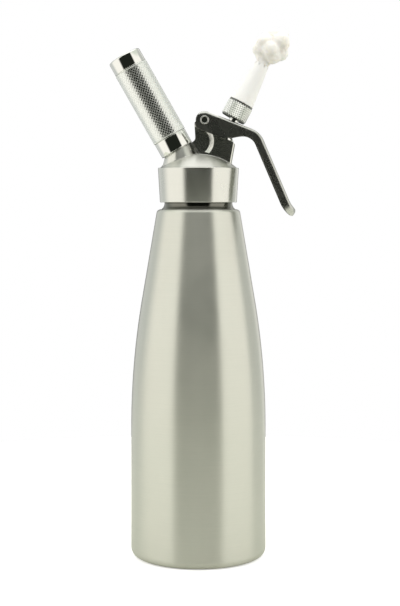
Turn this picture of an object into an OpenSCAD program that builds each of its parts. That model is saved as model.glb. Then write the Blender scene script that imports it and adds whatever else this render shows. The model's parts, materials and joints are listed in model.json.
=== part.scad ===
// Whipped cream dispenser: a tapered steel bottle, a screw-on head with a lever valve,
// a knurled holder for an 8 g gas cartridge and a decorating nozzle.
// The bottle stands on z = 0 about the Z axis. Seen from -Y, the nozzle leans to the
// right (+X) over the lever, and the cartridge holder leans to the left (-X).
// All sizes are in millimetres.

/* [Bottle] */
// Outside diameter of the straight lower body
bottle_d = 95; // [92:1:104]
// Height of the shoulder under the neck
bottle_h = 244; // [232:1:256]
// Height where the straight body ends and the taper begins
straight_h = 90; // [70:1:110]
// Height where the curved taper runs out into a straight cone
curve_h = 180; // [160:1:200]
// Diameter where the cone meets the shoulder
shoulder_d = 58.4; // [58:0.2:64]
// Radius of the rounded edge between cone and shoulder
shoulder_round = 3; // [2:0.25:3]
// Thickness of the sheet steel
bottle_wall = 1.2; // [0.9:0.1:1.6]
// Radius of the rounded bottom edge
base_round = 6; // [4:0.5:9]
// Width of the flat foot ring that the bottle stands on
foot_w = 4; // [3:0.5:7]
// Height of the pressed-up middle of the base
base_recess = 3; // [2:0.5:5]

/* [Neck] */
// Diameter of the neck, over its thread
neck_d = 48; // [47:0.25:49]
// Height of the neck above the shoulder
neck_h = 22; // [20:0.5:24]
// Thickness of the rolled neck
neck_wall = 2.4; // [1.8:0.1:3]
// How far the neck flares out where it joins the shoulder
neck_flare = 2.2; // [1:0.1:2.4]
// Height of that flare
neck_flare_h = 3.8; // [3:0.1:4.5]

/* [Head] */
// Gap that shows between the bottle's shoulder and the head
head_gap = 4.9; // [4.5:0.1:6]
// Height of the head's skirt
skirt_h = 24.4; // [23:0.2:27]
// Thickness of the skirt at its lower edge
skirt_wall = 2.9; // [2.4:0.1:4]
// How much the skirt widens towards its top
skirt_flare = 1.4; // [0.6:0.1:2]
// Width of the ledge between the skirt and the dome
ledge_w = 1.4; // [1:0.1:2]
// Rise of the dome above the skirt
dome_rise = 10.1; // [9:0.1:11.5]
// Thickness of the dome
dome_wall = 4; // [3:0.1:5]
// Thickness of the sealing ring between neck and head
gasket_t = 2.5; // [2:0.1:3]
// Width of the sealing ring
gasket_w = 3.4; // [2.6:0.1:3.6]

/* [Tower] */
// Thickness of the tower that carries the lever and the valve
tower_t = 15; // [14.4:0.1:17]
// Left face of the lever post
post_x = -2.2; // [-2.6:0.1:-1.8]
// How far the post's left face leans out at its top
post_lean = 0.6; // [0:0.1:0.9]
// Right face of the lever post
post_right_x = 10.2; // [9.8:0.1:10.8]
// Distance along the nozzle axis to the top of the valve block
block_top = 38.6; // [37.6:0.1:39.4]
// Half length of the block's top face
block_half = 8.7; // [8.2:0.1:9.4]
// Lean of the block's right end from upright
block_lean = 10; // [8:0.5:12]
// Radius of the block's upright edges
block_round = 2.2; // [1.5:0.1:3]
// Radius of the corner between the block's top face and its right end
block_corner = 2.2; // [1:0.1:2.4]
// Depth of the hollow in each side of the post
hollow_depth = 2.4; // [1.5:0.1:3]
// Radius of that hollow at its floor
hollow_r = 9.8; // [9:0.1:10.4]
// Width of the hollow's sloping rim
hollow_rim = 2.9; // [2:0.1:3.2]

/* [Lever] */
// Distance of the lever's pivot from the bottle axis
pivot_x = 4.3; // [4:0.1:4.6]
// Height of the pivot above the head's skirt
pivot_rise = 33.6; // [33:0.1:34.4]
// Radius of the pivot pin
pin_r = 2.1; // [1.8:0.1:2.3]
// Radius of the bush round the pin in each cheek
bush_r = 3.1; // [2.8:0.1:3.4]
// Fall of the lever's top plate from level, in degrees
lever_tilt = 21.7; // [20.5:0.1:23]
// Distance the lever turns when it is squeezed, in degrees
lever_travel = 10; // [6:1:12]
// Thickness of the lever's sheet metal
lever_t = 1.4; // [1.2:0.1:1.8]
// Height of the top plate above the pivot
plate_rise = 6.5; // [6.3:0.1:6.9]
// Depth of the cheeks beside the pivot
cheek_depth = 13.8; // [13:0.1:15]
// Radius of the lever's rounded end above the pivot
ear_r = 6.3; // [5.9:0.1:6.3]
// Length of the straight top plate, from the pivot to the bend
plate_l = 33.4; // [32:0.2:36]
// Outside radius of the bend between plate and handle
bend_r = 15; // [10:0.5:18]
// Angle of that bend
bend_angle = 45.3; // [40:0.5:50]
// Length of the straight handle
handle_l = 45.6; // [38:0.2:54]
// Depth of the handle's folded sides
handle_depth = 5.8; // [4.5:0.1:8]
// Radius of the outward curl at the tip
curl_r = 18; // [14:0.5:24]
// Angle of that curl
curl_angle = 30; // [20:1:36]
// Outside radius of the fold between plate and sides
fold_r = 2.2; // [1.8:0.1:2.6]

/* [Valve] */
// Lean of the nozzle from upright, in degrees
nozzle_tilt = 28.3; // [27.5:0.1:29]
// How far below the skirt's top the nozzle axis crosses the bottle axis
nozzle_drop = 12.8; // [12.2:0.1:13.4]
// Radius of the hollow valve stem
stem_r = 3.5; // [3.2:0.1:3.8]
// Radius of the channel in the stem
stem_bore_r = 2; // [1.5:0.1:2.3]
// Distance along the nozzle axis to the valve seat
seat_at = 12.5; // [12:0.1:13.5]
// Radius of the valve channel in the head
channel_r = 5.5; // [5:0.1:5.7]
// Radius of the valve disc
poppet_r = 7.4; // [7:0.1:8]
// Thickness of the rubber washer on the valve disc
poppet_seal_t = 2.6; // [2:0.1:3]
// Radius of the threaded guide bush in the valve block
guide_r = 6; // [5.8:0.1:6.2]
// Length of the guide bush's thread
guide_l = 5.6; // [4.5:0.1:6.5]
// Radius of the guide bush's flange
guide_flange_r = 6.9; // [6.6:0.1:7.2]
// Thickness of that flange
guide_flange_t = 1.2; // [1:0.1:1.5]
// Radius of the collar that the lever presses
collar_r = 6.5; // [6.2:0.1:6.8]
// Thickness of that collar
collar_t = 2.6; // [2.2:0.1:3]
// Thickness of the spring wire
wire_d = 1; // [0.8:0.1:1]
// Turns of the return spring
spring_turns = 2; // [1.5:0.25:2]

/* [Nozzle] */
// Radius of the knurled adapter
adapter_r = 9.25; // [8.8:0.05:9.8]
// Length of the knurled adapter
adapter_l = 12.9; // [11:0.1:15]
// Gap between the lever's plate and the adapter
adapter_gap = 0.8; // [0.6:0.1:1.4]
// Radius of the stud that the nozzle screws onto
stud_r = 6.4; // [6:0.1:6.8]
// Length of that stud
stud_l = 8; // [7:0.5:10]
// Radius of the nozzle at the adapter
nozzle_base_r = 8.85; // [8.4:0.05:9.2]
// Radius of the nozzle at its tip
nozzle_tip_r = 5; // [4.6:0.1:5.6]
// Length of the nozzle
nozzle_l = 31; // [28:0.5:38]
// Wall of the nozzle at its tip
nozzle_wall = 1.2; // [1:0.1:1.5]
// Number of notches in the star-shaped tip
star_points = 8; // [5:1:10]
// Depth of those notches
star_depth = 2; // [1:0.5:5]
// Radius of the puff of cream
cream_r = 11; // [9:0.5:14]
// Length of the puff of cream beyond the nozzle
cream_l = 28.6; // [24:0.5:34]

/* [Cartridge holder] */
// Lean of the holder from upright, in degrees
charger_tilt = 29.6; // [29:0.1:30.2]
// How far below the skirt's top the holder axis crosses the bottle axis
charger_drop = 13.8; // [13.4:0.1:14.2]
// Distance along the holder axis to the top of the boss
boss_top = 30.1; // [29.6:0.1:30.8]
// Radius of the boss at its top
boss_r = 10.7; // [10.4:0.1:11.2]
// Radius of the boss where it blends into the dome
boss_foot_r = 14; // [13:0.1:14.4]
// Radius of the threaded spigot inside the holder
spigot_r = 9.5; // [9.2:0.1:9.6]
// Length of that spigot
spigot_l = 12; // [10:0.5:13]
// Outside diameter of the holder's polished bands
holder_d = 24; // [23.6:0.1:25]
// Length of the holder's lower band
band_l = 10.7; // [8:0.1:13]
// How far the sleeve stands proud of the bands
sleeve_proud = 0.4; // [0.2:0.1:0.8]
// Length of the holder's cap
holder_cap_l = 9.9; // [8.5:0.1:12]
// Thickness of the cap's closed end
holder_cap_t = 4.7; // [3.5:0.1:5.5]
// Wall of the holder's tube under the sleeve
holder_wall = 1.4; // [1:0.1:1.8]
// Diameter of a standard 8 g gas cartridge
cartridge_d = 18; // [17.8:0.1:18.2]
// Length of a standard 8 g gas cartridge
cartridge_l = 65.3; // [64.5:0.1:66]
// Thickness of the rubber pad between the cartridge and the cap
pad_t = 3.85; // [2:0.05:5]
// Radius of the cartridge's neck
cartridge_neck_r = 4.3; // [4:0.1:4.5]
// Length of the cartridge's neck
cartridge_neck_l = 9; // [8:0.5:10]
// Wall of the cartridge
cartridge_wall = 1.2; // [1:0.1:1.8]
// Thickness of the rubber washer round the piercing pin
pin_seal_t = 2.4; // [2:0.1:2.8]
// Radius of the piercing pin's threaded base
pierce_base_r = 3; // [2.6:0.1:3.4]
// Radius of the piercing pin's point
pierce_r = 1.1; // [0.8:0.1:1.3]

/* [Hidden] */

$fn = 72;
// Clearances: parts fixed together, parts that turn or slide, threads, and parts at rest
snug = 0.03;
running = 0.05;
thread_gap = 0.3;
rest_gap = 0.3;
face_gap = 0.05;
// Length of a cut that goes right through
cut_l = 60;

// Bottle
bottle_r = bottle_d / 2;
shoulder_r = shoulder_d / 2;
neck_r = neck_d / 2;
neck_bore_r = neck_r - neck_wall;
neck_top = bottle_h + neck_h;
neck_edge = 0.7;
arc_h = curve_h - straight_h;
cone_h = bottle_h - curve_h;
taper_drop = bottle_r - shoulder_r;
// Tangent of half the cone's angle, found in four steps from the drop of the wall
function half_tan(n, t) = n == 0 ? t : half_tan(n - 1, taper_drop / (arc_h + 2 * cone_h / (1 - t * t)));
cone_angle = 2 * atan(half_tan(4, 0));
taper_r = arc_h / sin(cone_angle);
shoulder_in_r = shoulder_r - shoulder_round * tan((90 - cone_angle) / 2);
neck_foot_r = min(neck_r + neck_flare, shoulder_in_r - 0.2);
foot_in_r = bottle_r - base_round - foot_w;
recess_slope = 1.2;
recess_r = foot_in_r - recess_slope * base_recess;

// Head
skirt_z = bottle_h + head_gap;
skirt_top = skirt_z + skirt_h;
skirt_in_r = neck_r + thread_gap;
skirt_low_r = skirt_in_r + skirt_wall;
skirt_high_r = skirt_low_r + skirt_flare;
skirt_edge = 0.6;
dome_base_r = skirt_high_r - ledge_w;
dome_r = (dome_base_r * dome_base_r + dome_rise * dome_rise) / (2 * dome_rise);
dome_centre = skirt_top + dome_rise - dome_r;
shelf_z = neck_top + gasket_t;
gasket_in_r = neck_r - gasket_w;
vault_step = 0.9;
cavity_r = gasket_in_r + vault_step;
seat_wall = 1.1;

// Tower: the flare at the foot of the post, its edges, the slope of the plinth under the
// hollow, and the web that joins the post to the boss
flare_rise = 7.9;
flare_l = 8;
flare_r = 3.3;
post_edge = 1.5;
post_top_drop = 2.5;
hollow_x = post_x + 0.4;
hollow_drop = 14.8;
plinth_rise = 1.1;
plinth_slope = 17.4;
web_half = 3.5;
ear_seat = 0.7;
boss_shift = 3.4;
boss_edge = 0.5;
pierce_depth = 8.4;
pierce_tip_r = 0.6;
pierce_tip_l = 1.2;
pierce_bore_r = 0.4;
pin_play = 0.15;
inlet_r = 2.1;
inlet_l = 3.5;
inlet_floor = 0.5;
inlet_bore_r = 0.6;

// Axes of the nozzle, the cartridge holder and the lever
nozzle_z = skirt_top - nozzle_drop;
charger_z = skirt_top - charger_drop;
pivot_z = skirt_top + pivot_rise;
axis_turn = nozzle_tilt - lever_tilt;
// Distance along the nozzle axis to where it meets a plane that lies y above the pivot
function along_at(y) =
    (y + pivot_x * sin(lever_tilt) - (nozzle_z - pivot_z) * cos(lever_tilt)) / cos(axis_turn);
// Place along the lever of a point at distance a on the nozzle axis
function lever_x(a) = (a * sin(nozzle_tilt) - pivot_x) * cos(lever_tilt)
    - (nozzle_z + a * cos(nozzle_tilt) - pivot_z) * sin(lever_tilt);

// Lever
cheek_gap = 0.4;
skin_cut = 0.02;
lever_in = tower_t / 2 + cheek_gap;
lever_half = lever_in + lever_t;
ear_back = ear_r - 0.9;
ear_round = 4;
ear_l = 7;
plate_from = 7.6;
cheek_l = 15;
cheek_end = plate_l - 0.7;
bend_l = bend_r * bend_angle * PI / 180;
curl_l = curl_r * curl_angle * PI / 180;
handle_from = plate_l + bend_l;
curl_from = handle_from + handle_l;
lever_l = curl_from + curl_l;
tip_l = 9;
tip_round = 2.6;
tip_fall = 0.9;
tip_narrow = 0.93;
tip_skin = 0.15;
tip_overlap = 0.2;
end_l = max(tip_l, curl_l + 1);
fold_steps = 3;
bush_inset = 0.1;
bush_proud = 0.4;

// Valve
plate_under = along_at(plate_rise - lever_t);
plate_top = along_at(plate_rise);
collar_top = plate_under - rest_gap - collar_r * tan(axis_turn);
collar_low = collar_top - collar_t;
guide_top = block_top + guide_flange_t;
seal_t = 1.9;
collar_cone_h = 0.8;
collar_cone_w = 1.5;
disc_t = 3.2;
screw_r = 1.8;
screw_l = 2.4;
screw_head_r = 3.2;
screw_head_t = 1.6;
spring_play = 1.2;
spring_r = stem_r + wire_d / 2 + spring_play;
slot_at = lever_x(along_at(plate_rise - lever_t / 2));
slot_shift = plate_rise * sin(lever_travel) + slot_at * (1 - cos(lever_travel));
slot_play = 0.5;
slot_r = stem_r + slot_play;
port_r = 1.1;
port_at = 4;
stem_floor = 1;

// Nozzle
adapter_at = plate_top + adapter_gap + adapter_r * tan(axis_turn);
adapter_top = adapter_at + adapter_l;
stem_inset = 3.3;
stem_top = adapter_top - stem_inset;
nozzle_end = adapter_top + nozzle_l;
adapter_edge = 0.6;
adapter_seal_t = 1;
socket_step = 1.4;
adapter_seal_play = 0.2;
adapter_seal_step = 0.6;
star_half = 1;
cream_ridges = 7;
cream_rows = 18;

// Cartridge holder, as distances along its axis
holder_r = holder_d / 2;
holder_at = boss_top + rest_gap;
socket_rise = 0.4;
sleeve_at = holder_at + band_l + rest_gap;
socket_floor = boss_top + socket_rise;
cartridge_at = socket_floor + pin_seal_t + face_gap;
cartridge_end = cartridge_at + cartridge_l;
holder_end = cartridge_end + pad_t + 2 * face_gap + holder_cap_t;
cap_at = holder_end - holder_cap_l;
sleeve_l = cap_at - rest_gap - sleeve_at;
sleeve_r = holder_r + sleeve_proud;
tube_in_r = max(spigot_r, cartridge_d / 2) + thread_gap;
tube_r = tube_in_r + holder_wall;
tube_end = holder_end - holder_cap_t - face_gap;
band_edge = 0.5;
cap_round = 1.2;
pad_play = 0.5;
cartridge_r = cartridge_d / 2;
foil_t = 0.5;
cartridge_edge = 0.4;
cartridge_mouth_r = 1.6;
pierce_from = socket_floor - pierce_depth;
neck_turn = acos(cartridge_neck_r / cartridge_r);
neck_curve_at = cartridge_neck_l + cartridge_r * sin(neck_turn);

// Points of an arc about c, from angle a0 to angle a1, in n steps
function arc(c, r, a0, a1, n) = [for (i = [0:n]) let (a = a0 + (a1 - a0) * i / n) c + r * [cos(a), sin(a)]];
// Smooth step from 0 to 1 as x goes from 0 to 1
function ease(x) = let (t = max(0, min(1, x))) t * t * (3 - 2 * t);

module on_nozzle(a) translate([0, 0, nozzle_z])
    rotate([0, nozzle_tilt, 0]) translate([0, 0, a]) children();
module on_charger(h) translate([0, 0, charger_z])
    rotate([0, -charger_tilt, 0]) translate([0, 0, h]) children();
module on_lever() translate([pivot_x, 0, pivot_z]) rotate([0, lever_tilt, 0]) children();

// A round tube along Z
module ring(outer, inner, h) difference() {
    cylinder(r = outer, h = h);
    translate([0, 0, -1]) cylinder(r = inner, h = h + 2);
}

// A solid made by joining rings of points, closed at both ends. The ends are plain
// polygons, or strips across a folded section whose points go out and come back.
module skin(rings, folded = false) {
    n = len(rings[0]);
    m = len(rings);
    last = (m - 1) * n;
    sides = [for (i = [0:m - 2]) for (j = [0:n - 1]) let (k = (j + 1) % n)
        each [[i * n + j, (i + 1) * n + k, i * n + k], [i * n + j, (i + 1) * n + j, (i + 1) * n + k]]];
    plain = [[for (j = [0:n - 1]) j], [for (j = [n - 1:-1:0]) last + j]];
    strips = [for (j = [0:n / 2 - 2]) each [[j, j + 1, n - 1 - j], [j + 1, n - 2 - j, n - 1 - j],
        [last + j + 1, last + j, last + n - 1 - j], [last + n - 2 - j, last + j + 1, last + n - 1 - j]]];
    polyhedron([for (r = rings) each r], concat(folded ? strips : plain, sides), convexity = 6);
}

// Side wall of the bottle from the foot to the shoulder, moved inwards by o
function bottle_curve(o) = concat(
    arc([bottle_r - base_round, base_round], base_round - o, -90, 0, 8),
    arc([bottle_r - taper_r, straight_h], taper_r - o, 0, cone_angle, 14),
    arc([shoulder_in_r, bottle_h - shoulder_round], shoulder_round - o, cone_angle, 90, 6));

module bottle() color("gainsboro") rotate_extrude($fn = 120) polygon(concat(
    [[0, base_recess], [recess_r, base_recess], [foot_in_r, 0]],
    bottle_curve(0),
    [[neck_foot_r, bottle_h], [neck_r, bottle_h + neck_flare_h], [neck_r, neck_top - neck_edge],
     [neck_r - neck_edge, neck_top], [neck_bore_r + neck_edge, neck_top],
     [neck_bore_r, neck_top - neck_edge], [neck_bore_r, bottle_h - bottle_wall]],
    [for (i = [len(bottle_curve(0)) - 1:-1:0]) bottle_curve(bottle_wall)[i]],
    [[foot_in_r, bottle_wall], [recess_r, base_recess + bottle_wall], [0, base_recess + bottle_wall]]));

// Skirt and dome of the head as one solid of revolution
module head_outer() {
    rotate_extrude($fn = 120) polygon(concat(
        [[0, skirt_z], [skirt_low_r - skirt_edge, skirt_z], [skirt_low_r, skirt_z + skirt_edge]],
        arc([skirt_high_r - skirt_edge, skirt_top - skirt_edge], skirt_edge, 0, 90, 4),
        [[0, skirt_top]]));
    intersection() {
        translate([0, 0, dome_centre]) sphere(r = dome_r, $fn = 120);
        translate([0, 0, skirt_top - 1]) cylinder(r = dome_base_r, h = dome_rise + 2, $fn = 120);
    }
}

// Space inside the head: the threaded bore for the neck and the vault above the sealing ring
module head_cavity() {
    translate([0, 0, skirt_z - 1]) cylinder(r = skirt_in_r, h = shelf_z - skirt_z + 1, $fn = 120);
    intersection() {
        translate([0, 0, dome_centre]) sphere(r = dome_r - dome_wall, $fn = 120);
        translate([0, 0, shelf_z - 1]) cylinder(r = cavity_r, h = dome_rise + skirt_h);
    }
}

// Point in the XZ plane at distance a along the nozzle axis and p across it
function nozzle_point(a, p) = [a * sin(nozzle_tilt) + p * cos(nozzle_tilt),
    nozzle_z + a * cos(nozzle_tilt) - p * sin(nozzle_tilt)];

// Side view of the tower: the lever post on the left, the valve block on the right
module tower_side() {
    right_top = nozzle_point(block_top, block_half);
    left_top = nozzle_point(block_top, -block_half);
    foot_z = skirt_top + 1;
    flare_z = skirt_top + dome_rise + flare_rise;
    corner = block_corner * tan((90 - nozzle_tilt + block_lean) / 2);
    corner_at = nozzle_point(block_top - block_corner, block_half - corner);
    translate([pivot_x, pivot_z]) circle(r = ear_r - 0.1);
    polygon(concat(
        [[post_x - flare_l, foot_z], [post_x - flare_l, flare_z]],
        arc([post_x - flare_r, flare_z + flare_r], flare_r, -90, 0, 5),
        arc([post_x - post_lean + post_edge, pivot_z - post_top_drop], post_edge, 180, 90, 4),
        [[pivot_x, pivot_z], [post_right_x, pivot_z], [post_right_x, left_top[1] - 1], left_top],
        arc(corner_at, block_corner, 90 - nozzle_tilt, -block_lean, 5),
        [[right_top[0] - (right_top[1] - foot_z) * tan(block_lean), foot_z]]));
}

// Upright prism with rounded edges, which leans with the block's right end
module tower_plan() {
    right_top = nozzle_point(block_top, block_half);
    half = tower_t / 2;
    flat_half = half - block_round;
    tall = 120;
    translate([right_top[0], 0, right_top[1]]) rotate([0, block_lean, 0])
        translate([0, 0, -tall / 2]) linear_extrude(tall) {
            translate([-tall, -half]) square([tall - block_round, tower_t]);
            translate([-tall, -flat_half]) square([tall, 2 * flat_half]);
            for (side = [-1, 1]) translate([-block_round, side * flat_half]) circle(r = block_round);
        }
}

// Hollow in the front side of the post, with a sloping rim, cut off below by the plinth
// and above by the round boss of the pivot
module post_hollow() difference() {
    floor_y = hollow_depth - tower_t / 2;
    tall = 60;
    intersection() {
        translate([hollow_x, floor_y, pivot_z - hollow_drop]) rotate([90, 0, 0])
            cylinder(r1 = hollow_r, r2 = hollow_r + 2 * hollow_rim, h = 2 * hollow_depth);
        translate([pivot_x, 0, skirt_top + dome_rise + plinth_rise]) rotate([0, plinth_slope, 0])
            translate([-tall / 2, -tall, 0]) cube([tall, tall, tall]);
    }
    translate([pivot_x, 0, pivot_z]) rotate([90, 0, 0]) cylinder(r = ear_r + ear_seat, h = tower_t);
}

module tower() difference() {
    intersection() {
        rotate([90, 0, 0]) linear_extrude(tower_t + 2, center = true) tower_side();
        tower_plan();
    }
    on_charger(boss_top - face_gap) cylinder(r = sleeve_r + rest_gap, h = cut_l);
    for (side = [0, 1]) mirror([0, side, 0]) {
        post_hollow();
        on_charger(0) translate([-2 * boss_r, web_half, 0]) cube([3 * boss_r, tower_t, cut_l]);
    }
}

// Boss that carries the cartridge holder, blended into the dome
module holder_boss() hull() {
    on_charger(boss_top - boss_edge) cylinder(r1 = boss_r, r2 = boss_r - boss_edge, h = boss_edge, $fn = 48);
    translate([boss_shift - boss_top * sin(charger_tilt), 0, skirt_top])
        cylinder(r = boss_foot_r, h = 1, $fn = 48);
}

module head() color("silver") difference() {
    union() {
        difference() {
            union() {
                head_outer();
                tower();
                holder_boss();
            }
            head_cavity();
        }
        intersection() {
            on_nozzle(seat_at) cylinder(r = poppet_r + seat_wall, h = block_top - seat_at);
            translate([0, 0, dome_centre]) sphere(r = dome_r - dome_wall / 2, $fn = 120);
        }
        on_charger(boss_top - boss_edge) cylinder(r = spigot_r, h = spigot_l + boss_edge);
    }
    on_nozzle(seat_at - 1) cylinder(r = channel_r, h = block_top);
    on_nozzle(block_top - guide_l) cylinder(r = guide_r + snug, h = cut_l);
    on_charger(0) cylinder(r = pierce_base_r + snug, h = boss_top + 1);
    on_charger(socket_floor) cylinder(r = cartridge_neck_r + rest_gap, h = spigot_l + 3);
    translate([pivot_x, 0, pivot_z]) rotate([90, 0, 0])
        cylinder(r = pin_r + snug, h = tower_t + 4, center = true);
}

module head_gasket() color("dimgray") translate([0, 0, neck_top]) ring(neck_r, gasket_in_r, gasket_t);

module guide_bush() color("silver") on_nozzle(block_top - guide_l) difference() {
    union() {
        cylinder(r = guide_r, h = guide_l);
        translate([0, 0, guide_l]) cylinder(r = guide_flange_r, h = guide_flange_t);
    }
    translate([0, 0, -1]) cylinder(r = stem_r + running, h = guide_l + guide_flange_t + 2);
}

// Rubber ring under the guide bush that keeps the gas in
module stem_seal() color("dimgray") on_nozzle(block_top - guide_l - seal_t - face_gap)
    ring(channel_r - snug, stem_r + running, seal_t);

module pivot_pin() color("silver") translate([pivot_x, 0, pivot_z]) rotate([90, 0, 0])
    cylinder(r = pin_r, h = 2 * lever_half, center = true);

module piercing_pin() color("silver") on_charger(pierce_from) difference() {
    union() {
        cylinder(r = pierce_base_r, h = socket_floor - pierce_from);
        cylinder(r = pierce_r, h = cartridge_at + foil_t - pierce_from);
        translate([0, 0, cartridge_at + foil_t - pierce_from])
            cylinder(r1 = pierce_r, r2 = pierce_tip_r, h = pierce_tip_l);
    }
    translate([0, 0, -1]) cylinder(r = pierce_bore_r, h = cut_l);
}

module pin_seal() color("dimgray") on_charger(socket_floor)
    ring(cartridge_neck_r + rest_gap / 2, pierce_r + pin_play, pin_seal_t);

// Rubber one-way valve under the piercing pin
module inlet_valve() color("dimgray") on_charger(pierce_from - face_gap) difference() {
    translate([0, 0, -inlet_l]) cylinder(r1 = inlet_r, r2 = pierce_base_r, h = inlet_l);
    translate([0, 0, inlet_floor - inlet_l]) cylinder(r = inlet_bore_r, h = inlet_l);
}

// Back line of the lever: place, and angle below the top plate, at distance s from the pivot
function back(s) =
    s <= plate_l ? [s, plate_rise, 0] :
    s <= handle_from ? let (a = (s - plate_l) / bend_r * 180 / PI)
        [plate_l + bend_r * sin(a), plate_rise - bend_r * (1 - cos(a)), a] :
    s <= curl_from ? let (b = back(handle_from))
        [b[0] + (s - handle_from) * cos(bend_angle), b[1] - (s - handle_from) * sin(bend_angle), bend_angle] :
    let (b = back(curl_from), a = bend_angle - (s - curl_from) / curl_r * 180 / PI)
        [b[0] + curl_r * (sin(bend_angle) - sin(a)), b[1] - curl_r * (cos(a) - cos(bend_angle)), a];
// Rounding of the tip seen from the side, from 0 to almost 1 at the very end
function tip_bend(s) = let (v = max(0, (s - lever_l + tip_round) / tip_round)) 1 - sqrt(1 - tip_fall * v * v);
// Drop of the metal below the back line, over the ears that straddle the post
function lever_top(s) =
    s < 0 ? plate_rise - sqrt(ear_r * ear_r - s * s) :
    s <= ear_l ? plate_rise - ear_r :
    (plate_rise - ear_r) * (1 - ease((s - ear_l) / 3)) + tip_round * tip_bend(s);
// Rounding of the lower corner of the ears
function ear_corner(s) = let (k = ear_round - ear_back)
    s < k ? ear_round - sqrt(ear_round * ear_round - pow(s - k, 2)) : 0;
// Depth of the sides below the back line
function lever_low(s) = let (deep = 1 - ease((s - cheek_l) / (cheek_end - cheek_l)))
    handle_depth + (cheek_depth - handle_depth) * deep - ear_corner(s) - tip_round * tip_bend(s) / 2;
// Half width, rounded at the tip
function lever_wide(s) = let (u = max(0, (s - lever_l + tip_l) / tip_l))
    lever_half * sqrt(1 - tip_narrow * u * u);
// Section across the lever: down one side, over the plate and down the other, with wall t
function lever_side(w, top, low, r) = concat([[-w, low]], arc([-w + r, top + r], r, 180, 270, fold_steps),
    arc([w - r, top + r], r, 270, 360, fold_steps), [[w, low]]);
function lever_ring(s) = let (b = back(s), w = lever_wide(s), top = lever_top(s), low = lever_low(s),
    outer = lever_side(w, top, low, fold_r),
    inner = lever_side(w - lever_t, top + lever_t, low, fold_r - lever_t),
    section = concat(outer, [for (i = [len(inner) - 1:-1:0]) inner[i]]))
    [for (p = section) [b[0] - p[1] * sin(b[2]), p[0], b[1] - p[1] * cos(b[2])]];
lever_stations = concat(
    [for (i = [0:5]) -ear_back * cos(i * 18)],
    [ear_l / 2, ear_l, ear_l + 1, ear_l + 2, ear_l + 3],
    [for (i = [1:9]) cheek_l + (cheek_end - cheek_l) * i / 9],
    [for (i = [0:6]) plate_l + bend_l * i / 6],
    [handle_from + handle_l / 2],
    [for (i = [0:10]) lever_l - end_l + end_l * sin(i * 9)]);

// Outline across the end wall that closes the tip, halfway into the metal
function wall_ring(s) = let (b = back(s), w = lever_wide(s) - lever_t / 2)
    [for (p = lever_side(w, lever_top(s) + lever_t / 2, lever_low(s) - tip_overlap, fold_r / 2))
        [b[0] - p[1] * sin(b[2]), p[0], b[1] - p[1] * cos(b[2])]];

module lever() color("dimgray") on_lever() difference() {
    union() {
        skin([for (s = lever_stations) lever_ring(s)], folded = true);
        skin([for (i = [0:4]) wall_ring(lever_l - tip_skin - lever_t * (1 - i / 4))]);
    }
    translate([plate_from - cut_l, -lever_in - skin_cut, -cut_l / 2])
        cube([cut_l, 2 * (lever_in + skin_cut), cut_l]);
    rotate([90, 0, 0]) cylinder(r = bush_r + snug, h = cut_l, center = true);
    translate([slot_at - slot_shift / 2, 0, plate_rise - 2 * lever_t]) {
        for (side = [-1, 1]) translate([side * slot_shift / 2, 0, 0]) cylinder(r = slot_r, h = cut_l);
        translate([-slot_shift / 2, -slot_r, 0]) cube([slot_shift, 2 * slot_r, cut_l]);
    }
}

module lever_bushes() color("silver") for (side = [0, 180]) on_lever() rotate([90, 0, side])
    translate([0, 0, lever_in + bush_inset]) ring(bush_r, pin_r + running, lever_t - bush_inset + bush_proud);

module valve_stem() color("silver") on_nozzle(0) difference() {
    translate([0, 0, seat_at - poppet_seal_t]) cylinder(r = stem_r, h = stem_top - seat_at + poppet_seal_t);
    translate([0, 0, seat_at + stem_floor]) cylinder(r = stem_bore_r, h = stem_top);
    for (turn = [0, 90]) translate([0, 0, seat_at + port_at]) rotate([90, 0, turn])
        cylinder(r = port_r, h = 4 * stem_r, center = true);
    translate([0, 0, seat_at - poppet_seal_t - 1]) cylinder(r = screw_r + snug, h = screw_l + 1.1);
}

// Collar with a slightly coned top, so that the tilting plate rolls on it
module stem_collar() color("silver") on_nozzle(collar_low) difference() {
    union() {
        cylinder(r = collar_r, h = collar_t - collar_cone_h);
        translate([0, 0, collar_t - collar_cone_h])
            cylinder(r1 = collar_r, r2 = collar_r - collar_cone_w, h = collar_cone_h);
    }
    translate([0, 0, -1]) cylinder(r = stem_r + snug, h = collar_t + 2);
}

// Return spring between the guide bush and the collar, one unbroken wire
spring_low = guide_top + wire_d / 2 + face_gap;
spring_high = collar_low - wire_d / 2 - face_gap;
spring_steps = round(spring_turns * 14);
function coil_turn(i) = 360 * spring_turns * i / spring_steps;
function coil(i) = [spring_r * cos(coil_turn(i)), spring_r * sin(coil_turn(i)),
    spring_low + (spring_high - spring_low) * i / spring_steps];
function coil_ring(i) = let (a = coil_turn(i))
    [for (q = [0:45:315]) coil(i) + wire_d / 2 * [cos(q) * cos(a), cos(q) * sin(a), sin(q)]];
echo(least_gap_between_spring_turns =
    min([for (i = [0:spring_steps]) for (j = [i + 7:1:spring_steps]) norm(coil(j) - coil(i))]) - wire_d);

module valve_spring() color("silver") on_nozzle(0) skin([for (i = [0:spring_steps]) coil_ring(i)]);

module valve_disc() color("silver") on_nozzle(seat_at - poppet_seal_t - disc_t)
    ring(poppet_r, screw_r + snug, disc_t);

module valve_disc_seal() color("dimgray") on_nozzle(seat_at - poppet_seal_t)
    ring(poppet_r - rest_gap, stem_r + snug, poppet_seal_t);

module disc_screw() color("silver") on_nozzle(seat_at - poppet_seal_t - disc_t - screw_head_t) {
    cylinder(r = screw_head_r, h = screw_head_t);
    cylinder(r = screw_r, h = screw_head_t + disc_t + screw_l);
}

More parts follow.
